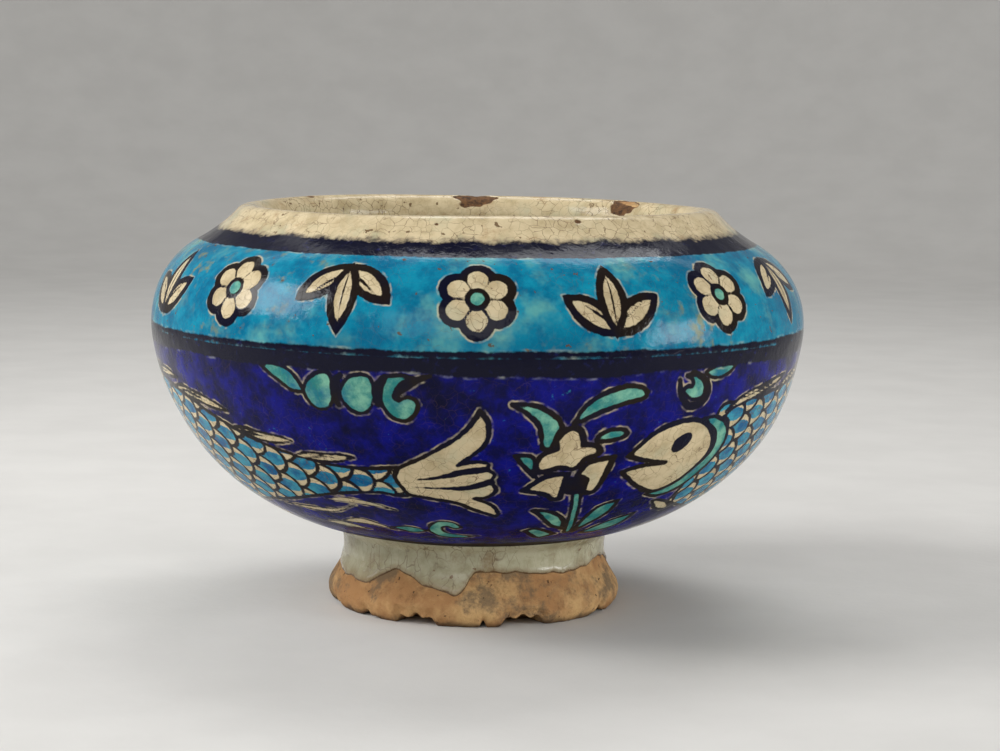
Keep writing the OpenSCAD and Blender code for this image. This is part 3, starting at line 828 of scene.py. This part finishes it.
class Net:
    """A material's nodes; each method adds some and returns an output. Lengths are in millimetres."""

    def __init__(self, name):
        self.material = bpy.data.materials.new(name)
        self.material.use_nodes = True
        self.tree = self.material.node_tree
        self.tree.nodes.clear()
        self.place = self.add("TexCoord").outputs["Object"]
        metres = self.add("SeparateXYZ", {0: self.place}).outputs["Z"]
        self.z = self.math("DIVIDE", metres, MM)

    def add(self, kind, inputs=None, **settings):
        node = self.tree.nodes.new("ShaderNode" + kind)
        for key, value in settings.items():
            setattr(node, key, value)
        for key, value in (inputs or {}).items():
            if isinstance(value, bpy.types.NodeSocket):
                self.tree.links.new(value, node.inputs[key])
            else:
                node.inputs[key].default_value = value
        return node

    def math(self, operation, a, b, c=0.0):
        """Output of a calculation with numbers or outputs."""
        return self.add("Math", {0: a, 1: b, 2: c}, operation=operation).outputs[0]

    def plus(self, a, b):
        return self.math("ADD", a, b)

    def times(self, a, b):
        return self.math("MULTIPLY", a, b)

    def larger(self, a, b):
        return self.math("MAXIMUM", a, b)

    def noise(self, size, detail, roughness=0.55):
        """Noise with features of a size, from about -1 to 1."""
        inputs = {"Vector": self.place, "Scale": 1 / (size * MM), "Detail": detail, "Roughness": roughness}
        fac = self.add("TexNoise", inputs).outputs[0]
        return self.add("MapRange", {0: fac, 1: 0.25, 2: 0.75, 3: -1.0, 4: 1.0}, clamp=False).outputs[0]

    def ramp(self, value, start, end, low=0.0, high=1.0):
        """Smooth change from low to high while a value goes from start to end."""
        inputs = {"Value": value, "From Min": start, "From Max": end, "To Min": low, "To Max": high}
        return self.add("MapRange", inputs, interpolation_type="SMOOTHSTEP").outputs[0]

    def mix(self, under, over, amount):
        return self.add("Mix", {0: amount, 6: under, 7: over}, data_type="RGBA").outputs[2]

    def coat(self, under, over, *change):
        """Colour over another, as much as a ramp with these settings says."""
        return self.mix(under, over, self.ramp(*change))

    def attribute(self, name):
        return self.add("Attribute", attribute_name=name).outputs["Fac"]

    def crackle(self, size, width, upright=1.0):
        """1 on the cracks of a crazed glaze and 0 between them; upright stretches its cells in height."""
        inputs = {"Vector": self.place, "Scale": 0.5 / (size * MM), "Detail": 3.0}
        bend = self.add("TexNoise", inputs).outputs["Color"]
        shift = self.add("VectorMath", {0: bend, "Scale": 1.6 * size * MM}, operation="SCALE").outputs[0]
        place = self.add("VectorMath", {0: self.place, 1: shift}, operation="ADD").outputs[0]
        place = self.add("VectorMath", {0: place, 1: (1, 1, 1 / upright)}, operation="MULTIPLY").outputs[0]
        inputs = {"Vector": place, "Scale": 1 / (size * MM)}
        edge = self.add("TexVoronoi", inputs, feature="DISTANCE_TO_EDGE").outputs["Distance"]
        return self.ramp(edge, 0.0, width / size, 1.0, 0.0)

    def finish(self, colour, roughness, height, relief, specular):
        """Surface with a colour and a roughness; the relief is the size of its height's steps."""
        normal = self.add("Bump", {"Height": height, "Distance": relief * MM, "Strength": 1.0}).outputs[0]
        inputs = {"Base Color": colour, "Roughness": roughness, "Normal": normal}
        inputs["Specular IOR Level"] = specular
        surface = self.add("BsdfPrincipled", inputs)
        self.add("OutputMaterial", {"Surface": surface.outputs[0]})
        return self.material


class Enamel(Net):
    """Painted enamel under a crazed glaze; the skin's distances say what is painted where."""

    def __init__(self, name):
        super().__init__(name)
        self.fine = self.noise(1.5, 3)
        self.shake = self.plus(self.times(self.fine, 0.17), self.times(self.noise(7, 2), 0.2))
        self.level = self.plus(self.z, self.times(self.shake, 2))
        self.rim = self.ramp(self.level, *BAND_TOP)
        self.blotch = self.noise(24, 4, 0.6)
        self.patch = self.noise(14, 4, 0.6)
        self.mottle = self.noise(6, 5, 0.65)
        self.grain = self.noise(1.2, 4, 0.7)
        self.cracks = self.crackle(2.6, 0.1)
        self.line = self.edge("line")
        self.bare = self.edge("bare")

    def edge(self, name):
        """Distance to the edge of a colour, which wavers as a brush does."""
        return self.plus(self.attribute(name), self.shake)

    def cobalt(self):
        colour = self.coat(COBALT_DEEP, COBALT, self.mottle, -0.6, 0.7)
        colour = self.coat(colour, COBALT_DARK, self.patch, 0.0, 0.8, 0, 0.85)
        return self.coat(colour, COBALT_PALE, self.grain, 0.65, 1.2, 0, 0.5)

    def turquoise(self):
        colour = self.coat(TURQUOISE_DEEP, TURQUOISE, self.mottle, -0.8, 0.9)
        colour = self.coat(colour, TURQUOISE_PALE, self.patch, 0.05, 1.0, 0, 0.75)
        colour = self.coat(colour, TURQUOISE_DARK, self.blotch, 0.1, 1.0, 0, 0.7)
        specks = self.ramp(self.noise(4, 3), 0.1, 0.8)
        rusty = self.times(specks, self.ramp(self.noise(38, 2), 0.0, 0.8))
        return self.mix(colour, RUST, self.times(rusty, 0.75))

    def cream(self):
        colour = self.coat(CREAM, CREAM_DULL, self.mottle, -0.4, 0.8, 0, 0.85)
        colour = self.coat(colour, CREAM_BROWN, self.noise(4, 5, 0.75), 0.35, 1.2, 0, 0.7)
        return self.coat(colour, CREAM_GREEN, self.patch, 0.0, 0.9, 0, 0.6)

    def leaf(self):
        colour = self.coat(LEAF, LEAF_DEEP, self.mottle, -0.7, 0.5)
        return self.coat(colour, LEAF_BLUE, self.patch, 0.1, 0.8, 0, 0.8)

    def painted(self):
        """Grounds, with a pale halo beside the dark lines, then leaves, cream fields and blue scales."""
        cream = self.cream()
        colour = self.coat(self.cobalt(), self.turquoise(), self.level, *COBALT_TOP)
        colour = self.mix(colour, cream, self.rim)
        broken = self.ramp(self.noise(4, 2), -0.4, 0.7, 0, 0.8)
        colour = self.mix(colour, cream, self.times(self.ramp(self.line, 0.15, 0.6, 1, 0), broken))
        colour = self.coat(colour, self.leaf(), self.edge("leaf"), -0.12, 0.12, 1, 0)
        colour = self.coat(colour, cream, self.edge("cream"), -0.12, 0.12, 1, 0)
        scale = self.coat(SCALE_DEEP, SCALE, self.mottle, -0.7, 0.6)
        ragged = self.times(self.plus(self.fine, self.mottle), 0.25)
        wash = self.plus(self.attribute("wash"), ragged)
        return self.coat(colour, scale, wash, 0.3, 0.7)

    def aged(self, colour):
        """Brown cracks, which show most on cream, specks above the belly and stains on the rim."""
        pale = self.larger(self.ramp(self.edge("cream"), -0.12, 0.12, 1, 0.25), self.rim)
        crazed = self.times(self.ramp(self.noise(11, 2), -0.5, 0.6, 0.2, 0.85), pale)
        colour = self.mix(colour, BROWN, self.times(self.cracks, crazed))
        specks = self.times(self.ramp(self.noise(2.2, 2), 0.75, 0.95), self.ramp(self.z, 70, 80))
        colour = self.mix(colour, BROWN, self.times(specks, 0.85))
        stain = self.ramp(self.noise(9, 6, 0.75), 0.1, 1.0)
        stain = self.times(stain, self.ramp(self.level, BAND_TOP[0], BAND_TOP[1] + 0.8))
        return self.mix(colour, RIM_STAIN, self.times(stain, 0.65))

    def inked(self, colour):
        """Dark lines, bluish in places and worn in others."""
        ink = self.coat(INK, INK_BLUE, self.blotch, -0.4, 0.4)
        ink = self.coat(ink, INK_WORN, self.grain, 0.6, 1.2, 0, 0.6)
        return self.coat(colour, ink, self.line, -0.2, 0.12, 1, 0)

    def ringed(self, colour):
        """Dark rings that run out upwards on the shoulder, have a brushed edge elsewhere and a pale rim."""
        soft = self.ramp(self.level, 103, 104.5, 0.35, 1.6)
        ring = self.math("DIVIDE", self.attribute("ring"), soft)
        ring = self.plus(ring, self.math("MULTIPLY_ADD", self.shake, 3.6, 0.3))
        broken = self.times(self.ramp(self.noise(6, 3), 0.0, 0.9, 0, 0.6), self.ramp(self.line, 0, 0.2))
        colour = self.mix(colour, CREAM_GREEN, self.times(self.ramp(ring, 0.5, 2.2, 1, 0), broken))
        ink = self.coat(INK_BLUE, RING_BLUE, self.noise(3, 5, 0.7), 0.2, 1.0)
        ink = self.coat(ink, RING_WORN, self.grain, 0.7, 1.2, 0, 0.5)
        ink = self.coat(RING_BROWN, ink, self.z, 30, 50)
        return self.coat(colour, ink, ring, -1.0, 0.8, 1, 0)

    def chipped(self, colour):
        """Bare clay where the glaze was lost."""
        clay = self.coat(CLAY_DARK, STAIN, self.grain, -0.6, 0.8)
        return self.coat(colour, clay, self.bare, -0.15, 0.15, 1, 0)


def enamel(name):
    """Enamel that is glossy, but dull where it is bare and next to the foot."""
    net = Enamel(name)
    colour = net.chipped(net.ringed(net.inked(net.aged(net.painted()))))
    roughness = net.ramp(net.noise(9, 4), -1, 1, 0.07, 0.22)
    roughness = net.larger(roughness, net.ramp(net.bare, -0.15, 0.15, 0.8, 0))
    roughness = net.larger(roughness, net.ramp(net.z, 22, 28, 0.6, 0))
    relief = net.plus(net.times(net.noise(6, 3), 0.5), net.times(net.cracks, -0.06))
    relief = net.plus(relief, net.ramp(net.line, -0.3, 0.3, 0.3, 0))
    specular = net.ramp(net.z, 24, 80, 0.02, 0.14)
    return net.finish(colour, roughness, relief, 0.12, specular)


def plain_glaze(name, colour, dull, pooled, pool_z):
    """Pale crazed glaze, deeper in colour where it pooled below a height and brown at a bare edge."""
    net = Net(name)
    colour = net.coat(colour, dull, net.noise(8, 5, 0.65), -0.5, 0.9)
    colour = net.coat(colour, pooled, net.z, pool_z, pool_z - 12, 0, 0.8)
    colour = net.coat(colour, GLAZE_STAIN, net.noise(11, 6, 0.7), -0.1, 0.8, 0, 0.85)
    cracks = net.crackle(2.7, 0.12, 2.6)
    crazed = net.ramp(net.noise(12, 2), -0.4, 0.6, 0.1, 0.75)
    colour = net.mix(colour, BROWN, net.times(cracks, crazed))
    colour = net.coat(colour, CLAY_DARK, net.noise(2.4, 2), 0.8, 1.0, 0, 0.8)
    edge = net.plus(net.attribute("edge"), net.times(net.noise(1.5, 3), 0.35))
    colour = net.coat(colour, GLAZE_THIN, edge, -2.2, -0.4, 0, 0.5)
    colour = net.coat(colour, BROWN, edge, -0.7, -0.2, 0, 0.9)
    roughness = net.ramp(net.noise(9, 4), -1, 1, 0.12, 0.3)
    relief = net.plus(net.times(net.noise(7, 3), 0.5), net.times(cracks, -0.3))
    return net.finish(colour, roughness, relief, 0.12, 0.35)


def bare_clay(name):
    """Fired buff clay with stains, grains and pits, dark where it stands on the table."""
    net = Net(name)
    grain = net.noise(0.9, 4, 0.7)
    pits = net.ramp(net.noise(1.7, 2), 0.7, 0.95)
    colour = net.coat(CLAY, CLAY_PALE, net.noise(12, 5, 0.65), -0.4, 0.7)
    colour = net.coat(colour, CLAY_DARK, net.noise(5, 5, 0.7), 0.0, 1.0, 0, 0.7)
    colour = net.coat(colour, CLAY_GREY, net.noise(16, 6, 0.7), 0.0, 0.45, 0, 0.8)
    colour = net.coat(colour, STAIN, net.noise(9, 6, 0.75), 0.55, 1.1, 0, 0.85)
    colour = net.mix(colour, STAIN, net.times(pits, 0.8))
    colour = net.coat(colour, CLAY_PALE, grain, 0.4, 1.2, 0, 0.55)
    # Darker towards the bottom, over about the lowest 2 mm, where the foot stands on the table
    ragged = net.plus(net.z, net.times(net.noise(5, 4), 1.2))
    colour = net.coat(colour, STAIN, ragged, 0, 2, 0.75, 0)
    relief = net.plus(net.times(grain, 0.5), net.times(pits, -0.8))
    return net.finish(colour, 0.85, relief, 0.3, 0.2)


# Pieces of the bowl


def dress(piece, material, slot, *nodes):
    """Gives a piece its material, hangs it on the root body and hides the solids that it stands in for."""
    piece.data.materials.append(material)
    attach(piece, "root")
    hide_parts(*nodes)


def ring_distance(along, start, end):
    """Distance to a painted ring between two places along a skin's outline."""
    return np.maximum(start - along, along - end)


def painted_skin(name, slot, path, nodes, paint, start, **options):
    """Skin with what is painted on it; start is where its outline begins along the bowl's face."""
    piece, (az, z, along) = skin(name, path, **options)
    painting = Painting(az, z)
    if paint:
        paint(painting)
    a = np.radians(az)
    sag = 1.2 + 0.35 * np.sin(3 * a + 1) + 0.3 * np.sin(7 * a) + 0.2 * np.sin(17 * a + 2)
    for ring_start, ring_end, rise, fall in RINGS:
        d = ring_distance(start + along, ring_start - rise * sag, ring_end + fall * sag)
        painting.ring = np.minimum(painting.ring, d)
    if "dents" in options:
        painting.bare = loss_distance(az, along)
    painting.keep(piece.data)
    dress(piece, enamel(name), slot, *nodes)


paths = [rim_path, shoulder_line_path, band_path, waist_path, cobalt_path, foot_line_path]
starts = np.concatenate([[0], np.cumsum([lengths(p)[-1] for p in paths])])
# Painted rings: start, end, and how far the upper and the lower edge wander out
RINGS = [
    (starts[1], starts[2] - 0.3, 0.0, 0.3),
    (starts[3], starts[3] + 1.5, 0.2, 0.0),
    (starts[3] + 1.25, starts[4], 0.0, 1.0),
    (starts[5] - 2.5, starts[6] + 1, 2.0, 0.0),
]

# Places where the rim lost its glaze: azimuth, half length, half width, distance inwards from the crest
LOSSES = [
    (181, 6.4, 3.2, 2.6), (135, 5.2, 3.8, 3.4), (-128, 1.2, 0.8, 1), (22, 0.9, 0.7, -3), (-9, 0.6, 0.5, -4),
]
crest = lengths(rim_path)[rim_path[:, 1].argmax()]


def loss_distance(az, along):
    """Distance to the places where the rim lost its glaze, less than zero inside them."""
    a = np.radians(az)
    ragged = 0.5 * np.sin(31 * a + 1.3 * along) + 0.35 * np.sin(67 * a - 2.1 * along)
    best = FAR + 0 * (a + along)
    for loss_az, half, width, inwards in LOSSES:
        off = np.radians(az_from(az, loss_az)) * rim_r
        d = (np.hypot(off / half, (along - crest + inwards) / width) - 1) * width
        best = np.minimum(best, d + ragged * width / 4)
    return best


def loss_depth(az, along):
    return 0.35 * (1 - smooth(loss_distance(az, along), -0.5, 0.3))


FISH_NODES = ["head", "eye", "collar", "body", "scales", "fin", "tail"]
FLOWER_NODES = ["petals", "heart", "leaves"]


def cell_nodes(side):
    fish = [f"fish_{part}_{side}" for part in FISH_NODES]
    flower = [f"flower_{part}_{side}" for part in FLOWER_NODES]
    return fish + flower + [f"leaf_scrolls_{side}"]


painted_skin("rim", "cream_glaze", rim_path, ["rim_glaze"], paint_rim, starts[0], dents=loss_depth)
painted_skin(
    "shoulder_ring", "black_enamel", shoulder_line_path, ["shoulder_line"], None, starts[1], columns=768,
)
painted_skin(
    "turquoise_band", "turquoise_enamel", band_path,
    ["turquoise_ground", "band_outlines", "band_rosettes", "rosette_hearts", "band_palmettes"],
    paint_band, starts[2], sectors=5,
)
painted_skin("waist_ring", "black_enamel", waist_path, ["waist_line"], None, starts[3])
painted_skin(
    "cobalt_front", "cobalt_enamel", cobalt_path, ["cobalt_ground"] + cell_nodes(1),
    paint_cobalt, starts[4], columns=COLUMNS // 2, turn=(-90, 90), sectors=3,
)
painted_skin(
    "cobalt_back", "cobalt_enamel", cobalt_path, ["painted_outlines"] + cell_nodes(2),
    paint_cobalt, starts[4], columns=COLUMNS // 2, turn=(90, 270), sectors=3,
)
painted_skin("foot_join", "black_enamel", foot_line_path, ["foot_line"], None, starts[5], columns=384)


def lining_shape(az, r, z):
    """The inside keeps the rim's wave and has the ridges of throwing."""
    wave_z = warp(az, r, z)[1]
    ridge = 0.12 * np.sin(2 * np.pi * (z / 7 + az / 360)) * smooth(r, 10, 30)
    return r + ridge, wave_z


lining, _ = skin("lining", lining_path, columns=512, move=lining_shape)
store(lining.data, "edge", np.full(len(lining.data.vertices), -FAR))
lining_look = plain_glaze("lining_look", LINING, LINING_DULL, LINING_POOL, 46)
dress(lining, lining_look, "green_glaze", "lining_glaze")


# How far the photograph's foot draws in at its neck, against the solids
NECK_SLIM = 1.3


def slim_neck(r, z):
    """Distance from the axis with the neck drawn in, but not at the toe or the join with the bowl."""
    drawn_in = smooth(z, 7, 15) * smooth(z, foot_out[1], foot_out[1] - 2.5)
    return r - NECK_SLIM * drawn_in * smooth(r, 33, 36)


def foot_section():
    """Outline of the foot ring, from its top down the outside, along the base and up the bore."""
    base_a = -math.degrees(math.asin(toe_z / toe_r))
    return chain(
        arc(neck_c, neck_r, neck_top_a, neck_low_a),
        arc(toe_c, toe_r, neck_low_a - 180, base_a),
        straight(polar(toe_c, toe_r, base_a), (bore_r, 0)),
        straight((bore_r, 0), (bore_top_r, under_z), 1.0),
        straight((bore_top_r, under_z), foot_out - (1, 0), 2.0),
    )


# Chips of the foot's edge: azimuth, half width in millimetres and depth
CHIPS = [
    (-47, 3.5, 2), (-23, 6, 3.2), (4, 1.4, 2), (20, 7.5, 3.4), (61, 4, 2.4), (96, 5, 2), (130, 6, 2.4),
    (171, 4, 1.8), (205, 6, 2.6), (243, 3, 2), (286, 5, 2.2),
]


def foot_clay():
    """Foot ring with chips along its lower edge and a rough, worn face."""
    az = np.linspace(-180, 180, 768, endpoint=False)
    loop = foot_section()
    r, z = np.tile(loop.T[:, None, :], (1, len(az), 1))
    points = in_space(az[:, None], r, z).reshape(-1, 3)
    rough = (0.3 * noise_at(points, 6, 1) + 0.14 * noise_at(points, 1.8, 2)).reshape(r.shape)
    edge = smooth(r, foot_r - 11, foot_r - 8)
    # Each chip bites up from the table, and in from the side to a little above that
    for chip_az, half, deep in CHIPS:
        off = np.radians(az_from(az, chip_az))[:, None] * foot_r
        across = np.abs(off + 0.25 * half * np.sin(off)) / half + 0.5 * rough
        bite = deep * (1 - smooth(across, 0.1, 1.2)) * edge
        lift = np.clip(bite - z, 0, None)
        r -= 0.45 * bite * smooth(z, deep + 2.5, deep)
        z += lift
    outer = smooth(r, 32, 36)
    r -= np.abs(rough) * smooth(z, 18, 12) * outer
    z += 0.5 * np.abs(rough) * (z < 0.2) * edge
    return lathe("foot_clay", az, slim_neck(r, z), z, True)


dress(foot_clay(), bare_clay("foot_look"), "clay", "foot_ring")

# Lower edge of the foot's glaze, as azimuth and height
GLAZE_EDGE = [
    (-180, 12), (-160, 10), (-140, 13), (-118, 9.4), (-96, 12.6), (-75, 10), (-61, 9.4), (-50, 9),
    (-43, 10.8), (-36, 13.6), (-30, 12.8), (-23, 11), (-16, 9.8), (-11, 9), (-7.5, 8.2), (-4, 10),
    (-1, 13), (3, 14.2), (17, 14), (37, 13), (50, 13), (61, 13.8), (72, 14.6), (88, 12.4), (104, 9.2),
    (122, 12.8), (140, 11), (156, 8.8), (170, 11.4), (180, 12),
]


def foot_glaze():
    """Glaze down to its uneven lower edge, thickest just above it; its material reads how far that is."""
    az = np.linspace(-180, 180, 720, endpoint=False)
    path = spline(GLAZE_EDGE)
    a = np.radians(az)
    edge = np.interp(az, path[:, 0], path[:, 1]) + 0.16 * np.sin(23 * a) + 0.12 * np.sin(41 * a + 1)
    rows = 40
    t = np.linspace(0, 1, rows)
    edge_a = 180 + np.degrees(np.arcsin((neck_c[1] - edge) / neck_r))
    top_a = neck_top_a - 2
    angle = top_a + (edge_a[:, None] - top_a) * t
    thick = glaze * (1 + 0.3 * np.exp(-(((t - 0.9) / 0.08) ** 2))) * np.sqrt(np.clip(1 - t**14, 0, 1))
    face = polar(neck_c, neck_r - thick, angle)
    back = polar(neck_c, neck_r + 0.6, angle)
    section = np.concatenate([face, back[:, ::-4]], axis=1)
    r, z = section[:, :, 0], section[:, :, 1]
    piece = lathe("foot_glaze_coat", az, slim_neck(r, z), z, True)
    store(piece.data, "edge", edge[:, None] - z)
    return piece


foot_look = plain_glaze("foot_glaze_look", FOOT_COAT, FOOT_COAT_DULL, FOOT_COAT_POOL, 16)
dress(foot_glaze(), foot_look, "green_glaze", "foot_glaze")

# The solids that stay under the glaze are clay too
core_clay = bare_clay("core_look")
for core in ("bowl_wall", "rim_collar", "rim_slip", "foot_slip"):
    node = frame["nodes"][core]
    node.data.materials.clear()
    node.data.materials.append(core_clay)


# Studio


def floor():
    """Pale disc that curves up far behind the bowl."""
    flat_r = 1200
    bend_r = 700
    path = chain(straight((0, 0), (flat_r, 0), 200), arc((flat_r, bend_r), bend_r, -90, -10, 60))
    az = np.linspace(-180, 180, 96, endpoint=False)
    r, z = np.tile(path.T[:, None, :], (1, len(az), 1))
    piece = lathe("floor", az, r, z, True, closed=False)
    net = Net("floor_look")
    colour = net.coat(FLOOR, FLOOR_DULL, net.noise(40, 3), -1, 1)
    piece.data.materials.append(net.finish(colour, 0.7, net.noise(3, 2), 0.02, 0.2))
    return piece


def lamp(name, at, target, size, power, spread=180):
    """Soft box that faces its target; a spread below 180 keeps its light off the floor under it."""
    data = bpy.data.lights.new(name, "AREA")
    data.spread = math.radians(spread)
    data.shape = "RECTANGLE"
    data.size, data.size_y = size
    data.energy = power
    way = Vector(target) - Vector(at)
    turn = way.to_track_quat("-Z", "Y").to_matrix().to_4x4()
    put(name, data).matrix_world = Matrix.Translation(at) @ turn


def camera():
    """The photograph's view: a little above the belly, with the bowl right of the frame's middle."""
    data = bpy.data.cameras.new("camera")
    data.lens = 86.6
    data.sensor_width = 36
    data.sensor_fit = "HORIZONTAL"
    data.shift_x = 0.0237
    place = (0, -0.6664, 0.1407)
    down = 6.654
    roll = 0.8
    piece = put("camera", data)
    turn = Matrix.Rotation(math.radians(90 - down), 4, "X") @ Matrix.Rotation(math.radians(roll), 4, "Z")
    piece.matrix_world = Matrix.Translation(place) @ turn
    bpy.context.scene.camera = piece


def world(strength):
    sky = bpy.data.worlds.new("studio")
    sky.use_nodes = True
    background = sky.node_tree.nodes["Background"]
    background.inputs["Color"].default_value = (1, 1, 1, 1)
    background.inputs["Strength"].default_value = strength
    bpy.context.scene.world = sky


floor()
lamp("left", (-0.78, -0.12, 0.58), (0, 0, 0.08), (0.5, 0.46), 3.4, 120)
lamp("right", (0.88, -0.32, 0.24), (0, 0, 0.08), (0.4, 0.32), 1.1, 90)
lamp("front", (-0.25, -1.3, 0.75), (0, 0, 0.06), (1.2, 0.8), 6.5)
lamp("top", (0.1, 0.45, 0.9), (0, 0, 0.08), (0.6, 0.4), 3.5)
lamp("backdrop", (0, 1.0, 1.3), (0, 1.7, 0.2), (2.0, 0.8), 6)
world(0.2)
camera()
bpy.context.scene.view_settings.view_transform = "Standard"
